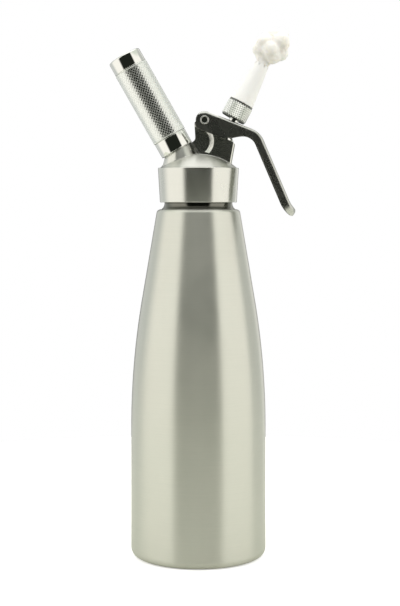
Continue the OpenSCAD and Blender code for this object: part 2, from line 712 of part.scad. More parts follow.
module nozzle_adapter() color("gray") on_nozzle(adapter_at) difference() {
    union() {
        rotate_extrude() polygon([[0, 0], [adapter_r - adapter_edge, 0], [adapter_r, adapter_edge],
            [adapter_r, adapter_l - adapter_edge], [adapter_r - adapter_edge, adapter_l], [0, adapter_l]]);
        translate([0, 0, adapter_l]) cylinder(r = stud_r, h = stud_l);
    }
    translate([0, 0, -1]) cylinder(r = stem_r + snug, h = stem_top - adapter_at + 1);
    translate([0, 0, -1]) cylinder(r = stem_bore_r, h = adapter_l + stud_l + 2);
}

// Flat ring between the end of the stud and the nozzle
module adapter_seal() color("dimgray") on_nozzle(adapter_top + stud_l + face_gap)
    ring(stud_r - adapter_seal_play, stem_bore_r + adapter_seal_step, adapter_seal_t);

module nozzle_tip() color("white") on_nozzle(adapter_top + face_gap) difference() {
    socket_r = stud_r + thread_gap / 2;
    socket_l = stud_l + adapter_seal_t + 2 * face_gap;
    mouth_r = nozzle_tip_r - nozzle_wall;
    long = nozzle_l - face_gap;
    rotate_extrude() polygon([[socket_r, 0], [nozzle_base_r, 0], [nozzle_tip_r, long], [mouth_r, long],
        [stud_r - socket_step, socket_l], [socket_r, socket_l]]);
    for (i = [0:star_points - 1]) rotate([0, 0, (i + 0.5) * 360 / star_points])
        translate([0, 0, long]) rotate([90, 0, 90]) linear_extrude(2 * nozzle_tip_r)
            polygon([[-star_half, face_gap], [0, -star_depth], [star_half, face_gap]]);
}

// Puff of cream with twisted ridges, from the nozzle's mouth to its soft peak
cream_neck_r = nozzle_tip_r - 0.6;
cream_swell = 0.3;
cream_twist = 60;
// Fullness and softness of the crown, depth of the ridges and where they start
cream_full = 2.6;
cream_soft = 0.55;
ridge_depth = 0.13;
ridge_from = 0.25;
function cream_outline(t) = t < cream_swell ?
    cream_neck_r + (cream_r - cream_neck_r) * ease(t / cream_swell) :
    cream_r * pow(max(0, 1 - pow((t - cream_swell) / (1 - cream_swell), cream_full)), cream_soft) + face_gap;
function cream_ridge(q, t) = 1 - ridge_depth * ease(t / ridge_from) * (1 - abs(cos(cream_ridges * q / 2)));
function cream_ring(t) = [for (j = [0:6 * cream_ridges - 1])
    let (q = j * 60 / cream_ridges, r = cream_outline(t) * cream_ridge(q, t))
    [r * cos(q + cream_twist * t), r * sin(q + cream_twist * t), cream_l * t]];

module cream_puff() color("ivory") on_nozzle(nozzle_end + face_gap)
    skin([for (i = [0:cream_rows]) cream_ring(1 - pow(1 - i / cream_rows, 1.5))]);

// Steel cartridge, open only through the pierced end of its neck
module gas_cartridge() color("silver") on_charger(cartridge_at) rotate_extrude() polygon(concat(
    [[cartridge_mouth_r, 0], [cartridge_neck_r - cartridge_edge, 0], [cartridge_neck_r, cartridge_edge]],
    arc([0, neck_curve_at], cartridge_r, -neck_turn, 0, 6),
    arc([0, cartridge_l - cartridge_r], cartridge_r, 0, 90, 10),
    arc([0, cartridge_l - cartridge_r], cartridge_r - cartridge_wall, 90, 0, 10),
    arc([0, neck_curve_at], cartridge_r - cartridge_wall, 0, -neck_turn, 6),
    [[cartridge_mouth_r, cartridge_neck_l]]));

// Thin disc crimped into the cartridge's neck, pierced by the pin
module cartridge_seal() color("silver") on_charger(cartridge_at + face_gap)
    ring(cartridge_mouth_r - snug, pierce_r + pin_play, foil_t);

module holder_tube() color("silver") on_charger(0) rotate_extrude() polygon([
    [tube_in_r, holder_at], [holder_r - band_edge, holder_at], [holder_r, holder_at + band_edge],
    [holder_r, holder_at + band_l - band_edge], [holder_r - band_edge, holder_at + band_l],
    [tube_r, holder_at + band_l], [tube_r, tube_end], [tube_in_r, tube_end]]);

module grip_sleeve() color("lightgray") on_charger(sleeve_at) rotate_extrude() polygon([
    [tube_r + snug, 0], [sleeve_r - band_edge, 0], [sleeve_r, band_edge],
    [sleeve_r, sleeve_l - band_edge], [sleeve_r - band_edge, sleeve_l], [tube_r + snug, sleeve_l]]);

module holder_cap() color("silver") on_charger(0) rotate_extrude() polygon(concat(
    [[tube_r + snug, cap_at], [holder_r - band_edge, cap_at], [holder_r, cap_at + band_edge]],
    arc([holder_r - cap_round, holder_end - cap_round], cap_round, 0, 90, 5),
    [[0, holder_end], [0, holder_end - holder_cap_t], [tube_r + snug, holder_end - holder_cap_t]]));

// Rubber pad between the cartridge and the cap
module cushion_pad() color("dimgray") on_charger(cartridge_end + face_gap)
    cylinder(r = tube_in_r - pad_play, h = pad_t);

bottle();
head();
head_gasket();
guide_bush();
stem_seal();
pivot_pin();
piercing_pin();
pin_seal();
inlet_valve();
lever();
lever_bushes();
valve_stem();
stem_collar();
valve_spring();
valve_disc();
valve_disc_seal();
disc_screw();
nozzle_adapter();
adapter_seal();
nozzle_tip();
cream_puff();
gas_cartridge();
cartridge_seal();
holder_tube();
grip_sleeve();
holder_cap();
cushion_pad();
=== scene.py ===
"""Whipped cream dispenser: turned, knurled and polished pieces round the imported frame, in a white studio."""
import json
import math

import bpy
from mathutils import Matrix, Vector


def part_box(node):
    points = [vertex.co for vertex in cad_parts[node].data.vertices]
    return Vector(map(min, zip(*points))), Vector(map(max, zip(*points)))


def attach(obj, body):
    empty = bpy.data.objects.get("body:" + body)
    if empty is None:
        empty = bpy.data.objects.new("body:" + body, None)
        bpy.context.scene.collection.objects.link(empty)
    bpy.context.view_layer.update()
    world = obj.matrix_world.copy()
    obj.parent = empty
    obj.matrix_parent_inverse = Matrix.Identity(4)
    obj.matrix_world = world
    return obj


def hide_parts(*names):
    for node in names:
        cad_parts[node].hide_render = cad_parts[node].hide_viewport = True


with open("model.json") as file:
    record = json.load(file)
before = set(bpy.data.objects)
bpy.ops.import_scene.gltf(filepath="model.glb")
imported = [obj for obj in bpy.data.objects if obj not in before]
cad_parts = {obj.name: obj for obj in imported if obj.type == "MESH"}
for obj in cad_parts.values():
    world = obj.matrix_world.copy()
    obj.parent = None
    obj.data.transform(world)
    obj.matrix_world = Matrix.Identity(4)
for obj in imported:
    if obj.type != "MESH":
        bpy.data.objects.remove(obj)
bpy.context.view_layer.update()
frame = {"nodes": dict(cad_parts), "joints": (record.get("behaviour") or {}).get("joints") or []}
CAD = frame["nodes"]
JOINTS = {joint["name"]: joint for joint in frame["joints"]}
MM = 0.001
POLE = 0.001  # radius in mm at which a turned profile meets its axis

# ---------------------------------------------------------------- places
# The dome of the head is part of a ball on the bottle's axis; it meets the skirt at the seam. In mm.
DOME_R, DOME_CENTRE = 41.676, 241.724
SEAM_R, SEAM_Z = 27.2, 273.3

NOZZLE_AXIS = -Vector(JOINTS["valve_travel"]["axis"]).normalized()
HOLDER_AXIS = Vector(JOINTS["holder_turn"]["axis"]).normalized()
PIVOT = Vector(JOINTS["lever_squeeze"]["pos_m"])
UPRIGHT = Matrix.Identity(4)


def leaning(axis, node):
    """Place whose Z is the leaning axis of a round node, from where it crosses the bottle's axis."""
    low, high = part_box(node)
    middle = (low + high) / 2
    y = Vector((0, 1, 0))
    turn = Matrix((y.cross(axis), y, axis)).transposed().to_4x4()
    return Matrix.Translation((0, 0, middle.z - middle.x * axis.z / axis.x)) @ turn


NOZZLE = leaning(NOZZLE_AXIS, "nozzle_tip")
HOLDER = leaning(HOLDER_AXIS, "grip_sleeve")


def points_of(node, place):
    """A node's points as seen from a place, in mm."""
    back = place.inverted()
    return [(back @ vertex.co) / MM for vertex in CAD[node].data.vertices]


def reach(node, place):
    """Lowest and highest point of a node along a place's axis, in mm."""
    heights = [point.z for point in points_of(node, place)]
    return min(heights), max(heights)


def off_axis(point, place):
    """Distance of a point from a place's axis, both in mm."""
    seen = place.inverted() @ (Vector(point) * MM)
    return math.hypot(seen.x, seen.y) / MM


def off_dome(point):
    """How far a point in mm stands out from the ball of the dome."""
    return (Vector(point) - Vector((0, 0, DOME_CENTRE))).length - DOME_R


# ---------------------------------------------------------------- modelling
def deselect():
    """Leaves edit mode and drops every selection."""
    if bpy.context.object and bpy.context.object.mode != "OBJECT":
        bpy.ops.object.mode_set(mode="OBJECT")
    bpy.ops.object.select_all(action="DESELECT")


def choose(*pieces):
    """Selects these pieces alone; the first is the active one."""
    deselect()
    for piece in pieces:
        piece.select_set(True)
    bpy.context.view_layer.objects.active = pieces[0]


def joined(*pieces):
    """Joins pieces into the first of them."""
    choose(*pieces)
    bpy.ops.object.join()
    return pieces[0]


def edit(piece, everything=True):
    """Edit mode with all points of a piece selected, or none."""
    choose(piece)
    bpy.ops.object.mode_set(mode="EDIT")
    bpy.ops.mesh.select_mode(type="VERT")
    bpy.ops.mesh.select_all(action="SELECT" if everything else "DESELECT")


def mark(piece, wanted):
    """Selects in edit mode the points for which wanted(x, y, z) in mm is true."""
    edit(piece, False)
    bpy.ops.object.mode_set(mode="OBJECT")
    for vertex in piece.data.vertices:
        vertex.select = bool(wanted(*(vertex.co / MM)))
    bpy.ops.object.mode_set(mode="EDIT")


def mark_edges(piece, wanted):
    """Keeps, of the edges selected in edit mode, those for whose two ends in mm wanted(end) is true."""
    bpy.ops.object.mode_set(mode="OBJECT")
    for edge in piece.data.edges:
        ends = [piece.data.vertices[i].co / MM for i in edge.vertices]
        edge.select = edge.select and all(wanted(end) for end in ends)
    for part in (*piece.data.vertices, *piece.data.polygons):
        part.select = False
    bpy.context.tool_settings.mesh_select_mode = (False, True, False)
    bpy.ops.object.mode_set(mode="EDIT")


def apply(piece, kind, **settings):
    """Adds a modifier and applies it."""
    choose(piece)
    added = piece.modifiers.new(kind.lower(), kind)
    for key, value in settings.items():
        setattr(added, key, value)
    bpy.ops.object.modifier_apply(modifier=added.name)


def smooth(piece, degrees):
    """Smooth shading, with edges above an angle left sharp."""
    choose(piece)
    bpy.ops.object.shade_smooth_by_angle(angle=math.radians(degrees))


def settle(piece, place):
    """Puts a place into the piece's mesh, so that its object stays at the origin."""
    piece.data.transform(place @ piece.matrix_world)
    piece.matrix_world = UPRIGHT


def arc(centre, radius, start, end, steps):
    """Points (radius, height) along an arc of a profile, angles in degrees."""
    turns = [math.radians(start + (end - start) * i / steps) for i in range(steps + 1)]
    return [(centre[0] + radius * math.cos(a), centre[1] + radius * math.sin(a)) for a in turns]


def turned(name, profile, segments=128):
    """Turns a profile of (radius, height) points in mm: a ring extruded from point to point."""
    deselect()
    radius, height = profile[0]
    bpy.ops.mesh.primitive_circle_add(vertices=segments, radius=max(radius, POLE) * MM, location=(0, 0, 0))
    piece = bpy.context.object
    piece.name = piece.data.name = name
    edit(piece)
    bpy.ops.transform.translate(value=(0, 0, height * MM))
    for (r0, h0), (r1, h1) in zip(profile, profile[1:]):
        factor = max(r1, POLE) / max(r0, POLE)
        bpy.ops.mesh.extrude_region_move(TRANSFORM_OT_translate={"value": (0, 0, (h1 - h0) * MM)})
        bpy.ops.transform.resize(value=(factor, factor, 1), center_override=(0, 0, h1 * MM))
    bpy.ops.mesh.select_all(action="SELECT")
    bpy.ops.mesh.remove_doubles(threshold=5e-6)
    bpy.ops.mesh.normals_make_consistent(inside=False)
    bpy.ops.object.mode_set(mode="OBJECT")
    return piece


def knurl(piece, radius, low, high, columns, rows, depth, chosen):
    """Moves the grid points that chosen(column, row) picks outwards by depth, between two heights."""
    near = 0.01

    def raised(x, y, z):
        if not low < z < high or abs(math.hypot(x, y) - radius) > near:
            return False
        column = round(math.atan2(y, x) / (2 * math.pi) * columns) % columns
        row = round((z - low) / (high - low) * rows)
        return 0 < row < rows and chosen(column, row)

    mark(piece, raised)
    factor = 1 + depth / radius
    bpy.ops.transform.resize(value=(factor, factor, 1), center_override=(0, 0, 0))
    mark(piece, lambda x, y, z: low <= z + near and z - near <= high and math.hypot(x, y) > radius - near)
    bpy.ops.mesh.quads_convert_to_tris(quad_method="LONGEST_DIAGONAL", ngon_method="BEAUTY")
    bpy.ops.object.mode_set(mode="OBJECT")


def copied(node, name):
    """A merged copy of a node's mesh, to be worked on."""
    piece = bpy.data.objects.new(name, CAD[node].data.copy())
    piece.data.name = name
    bpy.context.scene.collection.objects.link(piece)
    edit(piece)
    bpy.ops.mesh.remove_doubles(threshold=2e-6)
    bpy.ops.object.mode_set(mode="OBJECT")
    return piece


def flatten_shading(piece, degrees):
    """Smooth shading that keeps large flat faces flat."""
    smooth(piece, degrees)
    apply(piece, "WEIGHTED_NORMAL", mode="FACE_AREA", weight=80, keep_sharp=True)


def fit(piece, body, slot, node, finish=None):
    """Gives a piece its body, slot and finish, in place of the solid it stands for."""
    piece.data.materials.clear()
    piece.data.materials.append(finish or FINISHES[slot])
    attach(piece, body)
    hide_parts(node)


# ---------------------------------------------------------------- finishes
def put(tree, kind, links=None, **settings):
    """Adds a shader node; links gives its inputs by name or number, as values or sockets."""
    made = tree.nodes.new("ShaderNode" + kind)
    for key, value in settings.items():
        setattr(made, key, value)
    for key, value in (links or {}).items():
        if isinstance(value, bpy.types.NodeSocket):
            tree.links.new(value, made.inputs[key])
        else:
            made.inputs[key].default_value = value
    return made


def effect(name, inputs, outputs):
    """An empty node group with named inputs and outputs."""
    group = bpy.data.node_groups.new(name, "ShaderNodeTree")
    for label, kind in inputs:
        group.interface.new_socket(name=label, in_out="INPUT", socket_type="NodeSocket" + kind)
    for label, kind in outputs:
        group.interface.new_socket(name=label, in_out="OUTPUT", socket_type="NodeSocket" + kind)
    return group, group.nodes.new("NodeGroupInput").outputs, group.nodes.new("NodeGroupOutput").inputs


def ranged(tree, value, low, high, start=0.0, end=1.0):
    """Turns a value that runs from start to end into one that runs from low to high, kept between them."""
    return put(tree, "MapRange", {"Value": value, "From Min": start, "From Max": end,
                                  "To Min": low, "To Max": high}).outputs[0]


def times(tree, a, b):
    """Product of two values or sockets."""
    return put(tree, "Math", {0: a, 1: b}, operation="MULTIPLY").outputs[0]


def brushing_effect():
    """Fine lines left by a brush that ran round the piece: a value and a normal."""
    group, given, wanted = effect(
        "Brush lines", [("Vector", "Vector"), ("Lines per m", "Float"), ("Depth", "Float")],
        [("Lines", "Float"), ("Normal", "Vector")])
    across = 0.012  # the pattern's scale along the lines, against 1 from line to line
    squeezed = put(group, "CombineXYZ", {"X": across, "Y": across, "Z": 1.0}).outputs[0]
    flat = put(group, "VectorMath", {0: given["Vector"], 1: squeezed}, operation="MULTIPLY").outputs[0]
    fine = put(group, "TexNoise", {"Vector": flat, "Scale": given["Lines per m"], "Detail": 4.0,
                                   "Roughness": 0.7}).outputs[0]
    group.links.new(fine, wanted["Lines"])
    bump = put(group, "Bump", {"Height": fine, "Strength": given["Depth"], "Distance": 0.0002})
    group.links.new(bump.outputs[0], wanted["Normal"])
    return group


def handling_effect():
    """Faint cloudy marks of wiping and handling."""
    group, given, wanted = effect("Handling marks", [("Vector", "Vector"), ("Size", "Float")],
                                  [("Clouds", "Float")])
    broad = put(group, "TexNoise", {"Vector": given["Vector"], "Scale": given["Size"], "Detail": 5.0,
                                    "Roughness": 0.6, "Distortion": 0.6}).outputs[0]
    group.links.new(ranged(group, broad, 0.0, 1.0, 0.36, 0.66), wanted["Clouds"])
    return group


def edge_effect():
    """Edges worn bright, and painted shade that darkens grooves and hollows."""
    group, given, wanted = effect("Worn edges and painted groove shade", [("Sharpness", "Float")],
                                  [("Edges", "Float"), ("Painted groove shade", "Float")])
    geometry = put(group, "NewGeometry")
    above = put(group, "Math", {0: geometry.outputs["Pointiness"], 1: 0.5}, operation="SUBTRACT").outputs[0]
    scaled = times(group, above, given["Sharpness"])
    group.links.new(ranged(group, scaled, 0.0, 1.0), wanted["Edges"])
    # Painted shade: hollows, where pointiness is low, get a groove shade value that darkens them.
    group.links.new(ranged(group, scaled, 0.0, 1.0, 0.0, -1.0), wanted["Painted groove shade"])
    return group


BRUSHING, HANDLING, WEAR_AND_SHADE = brushing_effect(), handling_effect(), edge_effect()


def finish_of(name):
    """A new material with its tree, its shader and its pattern coordinates."""
    material = bpy.data.materials.new(name)
    material.use_nodes = True
    tree = material.node_tree
    shader = tree.nodes["Principled BSDF"]
    return material, tree, shader, put(tree, "TexCoord").outputs["Object"]


def use(tree, group, **inputs):
    """Places an effect in a material; an underscore in a name stands for a space."""
    made = tree.nodes.new("ShaderNodeGroup")
    made.node_tree = group
    for key, value in inputs.items():
        key = key.replace("_", " ")
        if isinstance(value, bpy.types.NodeSocket):
            tree.links.new(value, made.inputs[key])
        else:
            made.inputs[key].default_value = value
    return made.outputs


def tint(tree, factor, under, over):
    """Mixes two colours by a value; each is a plain colour or a socket."""
    under, over = [colour if isinstance(colour, bpy.types.NodeSocket) else (*colour, 1)
                   for colour in (under, over)]
    return put(tree, "Mix", {"Factor": factor, 6: under, 7: over}, data_type="RGBA").outputs[2]


def blend(tree, factor, a, b):
    """Mixes two values or sockets by a value."""
    return put(tree, "Mix", {"Factor": factor, 2: a, 3: b}, data_type="FLOAT").outputs[0]


def lay_over(tree, shader, mask, colour):
    """Lays a colour over the shader's base colour by a mask."""
    base = shader.inputs["Base Color"]
    tree.links.new(tint(tree, mask, base.links[0].from_socket, colour), base)


def emboss(tree, shader, height, strength, distance):
    """Raises the surface by a value, as a normal."""
    bump = put(tree, "Bump", {"Height": height, "Strength": strength, "Distance": distance})
    tree.links.new(bump.outputs[0], shader.inputs["Normal"])


def turned_metal(name, colours, roughness, lines=2600.0, depth=0.25, anisotropy=0.0, axis=None,
                 marks=22.0, edge=14.0):
    """Steel turned or brushed round an axis, with handling marks, edges worn bright and painted shade in
    grooves and hollows.
    """
    material, tree, shader, place = finish_of(name)
    if axis is not None:
        mapping = {"Vector": place, "Location": axis.translation, "Rotation": axis.to_euler()}
        place = put(tree, "Mapping", mapping, vector_type="TEXTURE").outputs[0]
    brush = use(tree, BRUSHING, Vector=place, Lines_per_m=lines, Depth=depth)
    hand = use(tree, HANDLING, Vector=place, Size=marks)
    wear_and_shade_masks = use(tree, WEAR_AND_SHADE, Sharpness=edge)
    cloudy, wear_and_shade_share = 0.35, 0.5
    plain = tint(tree, blend(tree, cloudy, brush["Lines"], hand["Clouds"]), *colours)
    lifted = tint(tree, ranged(tree, wear_and_shade_masks["Edges"], 0.0, wear_and_shade_share), plain, (0.9, 0.9, 0.88))
    # Painted shade: grooves and hollows are darkened towards a near-black colour.
    groove_shaded = tint(tree, ranged(tree, wear_and_shade_masks["Painted groove shade"], 0.0, wear_and_shade_share), lifted, (0.10, 0.10, 0.09))
    tree.links.new(groove_shaded, shader.inputs["Base Color"])
    rough = blend(tree, hand["Clouds"], roughness[0], roughness[1])
    tree.links.new(rough, shader.inputs["Roughness"])
    tree.links.new(brush["Normal"], shader.inputs["Normal"])
    shader.inputs["Metallic"].default_value = 1.0
    if anisotropy:
        shader.inputs["Anisotropic"].default_value = anisotropy
        shader.inputs["Anisotropic Rotation"].default_value = 0.25
        tangent = put(tree, "Tangent", direction_type="RADIAL", axis="Z")
        tree.links.new(tangent.outputs[0], shader.inputs["Tangent"])
    return material, tree, shader, place, rough


def bottle_finish():
    """Satin steel brushed round the body; the neck under the head is smoother and darkened with a painted
    shadow.
    """
    material, tree, shader, place, rough = turned_metal(
        "Brushed bottle steel", ((0.70, 0.715, 0.66), (0.82, 0.815, 0.755)), (0.36, 0.42), lines=2300.0,
        depth=0.12, anisotropy=0.95, marks=16.0)
    height = put(tree, "SeparateXYZ", {"Vector": place}).outputs["Z"]
    above_foot = ranged(tree, height, 0.0, 1.0, 243.6 * MM, 244.8 * MM)
    below_skirt = ranged(tree, height, 1.0, 0.0, 250.0 * MM, 251.2 * MM)
    neck = times(tree, above_foot, below_skirt)
    neck_rough, shade = 0.17, 0.85
    tree.links.new(blend(tree, neck, rough, neck_rough), shader.inputs["Roughness"])
    # Painted shadow of the skirt: the neck under the head is darkened.
    lay_over(tree, shader, ranged(tree, neck, 0.0, shade), (0.12, 0.12, 0.10))
    return material


def knurled_finish(name, axis, radius, pit, roughness, groove_shade, worn):
    """Knurled steel: grooves smoother and darkened with painted shade, and ridges that are worn duller than
    them.
    """
    material, tree, shader, place, rough = turned_metal(
        name, ((0.90, 0.92, 0.905), (0.95, 0.97, 0.955)), roughness, lines=900.0, depth=0.02, axis=axis,
        marks=40.0, edge=0.0)
    flat = put(tree, "VectorMath", {0: place, 1: (1, 1, 0)}, operation="MULTIPLY").outputs[0]
    out = put(tree, "VectorMath", {0: flat}, operation="LENGTH").outputs["Value"]
    groove = ranged(tree, out, 1.0, 0.0, (radius - pit) * MM, radius * MM)
    # Painted shade: the grooves between the ridges are darkened by the groove shade share.
    lay_over(tree, shader, ranged(tree, groove, 0.0, groove_shade), (0.05, 0.055, 0.045))
    tree.links.new(blend(tree, groove, worn, rough), shader.inputs["Roughness"])
    return material


def head_finish():
    """Satin skirt and dome, polished tower."""
    material, tree, shader, place, rough = turned_metal(
        "Head steel", ((0.70, 0.71, 0.67), (0.80, 0.80, 0.76)), (0.26, 0.31), lines=3200.0, depth=0.08,
        anisotropy=0.85, marks=26.0)
    offset = put(tree, "VectorMath", {0: place, 1: (0, 0, DOME_CENTRE * MM)}, operation="SUBTRACT").outputs[0]
    distance = put(tree, "VectorMath", {0: offset}, operation="LENGTH").outputs["Value"]
    standing = ranged(tree, distance, 0.0, 1.0, (DOME_R + 0.2) * MM, (DOME_R + 0.5) * MM)
    at = put(tree, "SeparateXYZ", {"Vector": place}).outputs
    lean = HOLDER_AXIS.x / HOLDER_AXIS.z
    across = put(tree, "Math", {0: at["Z"], 1: -lean, 2: at["X"]}, operation="MULTIPLY_ADD").outputs[0]
    parting = 162.0  # between the boss on the left and the tower on the right
    right = ranged(tree, across, 0.0, 1.0, (parting - 0.5) * MM, (parting + 0.5) * MM)
    tower = times(tree, standing, right)
    above_seam = ranged(tree, at["Z"], 0.0, 1.0, (SEAM_Z - 0.1) * MM, (SEAM_Z + 0.3) * MM)
    dome = times(tree, ranged(tree, standing, 1.0, 0.0), above_seam)
    dome_rough, tower_rough = 0.36, 0.22
    polished = blend(tree, tower, blend(tree, dome, rough, dome_rough), tower_rough)
    tree.links.new(polished, shader.inputs["Roughness"])
    return material


def rubber_finish():
    """Black moulded rubber, matt."""
    material, tree, shader, place = finish_of("Seal rubber")
    clouds = use(tree, HANDLING, Vector=place, Size=300.0)["Clouds"]
    tree.links.new(tint(tree, clouds, (0.018, 0.018, 0.018), (0.05, 0.05, 0.048)), shader.inputs["Base Color"])
    tree.links.new(ranged(tree, clouds, 0.55, 0.75), shader.inputs["Roughness"])
    emboss(tree, shader, put(tree, "TexNoise", {"Vector": place, "Scale": 6000.0}).outputs[0], 0.15, 0.0001)
    return material


def nozzle_finish():
    """White moulded plastic with a satin skin."""
    material, tree, shader, place = finish_of("White nozzle plastic")
    clouds = use(tree, HANDLING, Vector=place, Size=60.0)["Clouds"]
    tree.links.new(tint(tree, clouds, (0.88, 0.88, 0.87), (0.92, 0.92, 0.91)), shader.inputs["Base Color"])
    tree.links.new(ranged(tree, clouds, 0.36, 0.50), shader.inputs["Roughness"])
    grain = put(tree, "TexNoise", {"Vector": place, "Scale": 2500.0, "Detail": 3.0}).outputs[0]
    emboss(tree, shader, grain, 0.06, 0.0002)
    shader.inputs["Subsurface Weight"].default_value = 0.25
    shader.inputs["Subsurface Radius"].default_value = (0.9, 0.85, 0.8)
    shader.inputs["Subsurface Scale"].default_value = 0.002
    return material


def cream_finish():
    """Whipped cream: warm white, fine bubbles, light passing in a little."""
    material, tree, shader, place = finish_of("Whipped cream")
    clouds = use(tree, HANDLING, Vector=place, Size=130.0)["Clouds"]
    tree.links.new(tint(tree, clouds, (0.84, 0.825, 0.79), (0.88, 0.87, 0.84)), shader.inputs["Base Color"])
    tree.links.new(ranged(tree, clouds, 0.48, 0.66), shader.inputs["Roughness"])
    bubbles = put(tree, "TexVoronoi", {"Vector": place, "Scale": 1500.0}).outputs[0]
    froth = put(tree, "TexNoise", {"Vector": place, "Scale": 500.0, "Detail": 5.0}).outputs[0]
    emboss(tree, shader, blend(tree, 0.6, bubbles, froth), 0.25, 0.0004)
    shader.inputs["Subsurface Weight"].default_value = 0.6
    shader.inputs["Subsurface Radius"].default_value = (1.0, 0.9, 0.75)
    shader.inputs["Subsurface Scale"].default_value = 0.004
    return material


# Finishes by the names that the solids' own slots have; the nut's knurl is coarser than the sleeve's.
FINISHES = {
    "bottle_steel": bottle_finish(),
    "head_steel": head_finish(),
    "bright_steel": turned_metal(
        "Polished bands", ((0.80, 0.81, 0.79), (0.86, 0.86, 0.84)), (0.03, 0.07),
        lines=4000.0, depth=0.015, axis=HOLDER, marks=50.0)[0],
    "lever_steel": turned_metal(
        "Dark polished lever", ((0.42, 0.43, 0.41), (0.54, 0.55, 0.52)), (0.26, 0.31),
        lines=1800.0, depth=0.03, marks=45.0, edge=8.0)[0],
    "knurled_steel": knurled_finish("Knurled sleeve", HOLDER, 12.32, 0.05, (0.16, 0.20), 0.1, 0.62),
    "spring_steel": turned_metal(
        "Spring wire", ((0.52, 0.52, 0.50), (0.66, 0.66, 0.63)), (0.20, 0.30),
        lines=900.0, depth=0.05, axis=NOZZLE, marks=200.0)[0],
    "cartridge_steel": turned_metal(
        "Zinc plated cartridge", ((0.58, 0.60, 0.62), (0.72, 0.73, 0.75)), (0.26, 0.38),
        lines=2000.0, depth=0.06, axis=HOLDER, marks=60.0)[0],
    "seal_rubber": rubber_finish(),
    "nozzle_plastic": nozzle_finish(),
    "cream": cream_finish(),
}
# The nut's grooves get almost full painted shade, the sleeve's only a little.
KNURLED_NUT = knurled_finish("Knurled nut", NOZZLE, 9.2, 0.42, (0.14, 0.20), 0.95, 0.20)

for solid in CAD.values():
    slot = solid.data.materials[0].name.split(".")[0]
    solid.data.materials.clear()
    solid.data.materials.append(FINISHES[slot])


# ---------------------------------------------------------------- bottle
def make_bottle():
    """Spun bottle: dished base, straight body, long curved taper, rounded shoulder and rolled neck."""
    wall, body_r, foot_r, foot_round = 1.2, 47.5, 41.5, 6
    taper_z, taper_centre, taper_r, cone = 90, -494.54, 542.04, 9.558
    shoulder_r, shoulder_z, shoulder_round = 26.663, 241, 3
    ring_r, dish_r, dish_z, mouth_r, lip_z, lip_round = 37.5, 33.9, 3, 21.6, 265.3, 0.7

    def side(inward):
        """The side wall's profile, set inwards by a distance."""
        return (arc((foot_r, foot_round), foot_round - inward, -90, 0, 10)
                + [(body_r - inward, 30), (body_r - inward, 60)]
                + arc((taper_centre, taper_z), taper_r - inward, 0, cone, 30)
                + arc((shoulder_r, shoulder_z), shoulder_round - inward, cone, 90, 10))

    base = [(POLE, dish_z), (20, dish_z), (dish_r, dish_z), (36.9, 0.4), (ring_r, 0)]
    neck = [(26.2, 244), (24.9, 245.2), (24.25, 246.6), (24, 247.8), (24, 256)]
    lip = (arc((23.3, lip_z), lip_round, 0, 90, 5) + arc((22.3, lip_z), lip_round, 90, 180, 5)
           + [(mouth_r, 250), (mouth_r, 242.8)])
    floor = [(ring_r, wall), (dish_r, dish_z + wall), (20, dish_z + wall), (POLE, dish_z + wall)]
    piece = turned("bottle_spun", base + side(0) + neck + lip + side(wall)[::-1] + floor, 192)
    smooth(piece, 35)
    fit(piece, "bottle", "bottle_steel", "bottle")


make_bottle()


# ---------------------------------------------------------------- head and lever
def foot_bead(body):
    """Rounded bead along the line where the tower and the boss stand on the dome."""
    edit(body, False)
    bpy.ops.mesh.select_mode(type="EDGE")
    bpy.ops.mesh.select_non_manifold(extend=False, use_wire=False, use_multi_face=False,
                                     use_non_contiguous=False)
    mark_edges(body, lambda end: abs(off_dome(end)) < 0.05 and end.z > SEAM_Z + 0.3)
    bpy.ops.mesh.duplicate()
    bpy.ops.mesh.separate(type="SELECTED")
    bpy.ops.object.mode_set(mode="OBJECT")
    bead = next(piece for piece in bpy.context.selected_objects if piece != body)
    choose(bead)
    bpy.ops.object.convert(target="CURVE")
    bead.data.bevel_depth, bead.data.bevel_resolution = 0.4 * MM, 2
    bpy.ops.object.convert(target="MESH")
    smooth(bead, 60)
    return bead


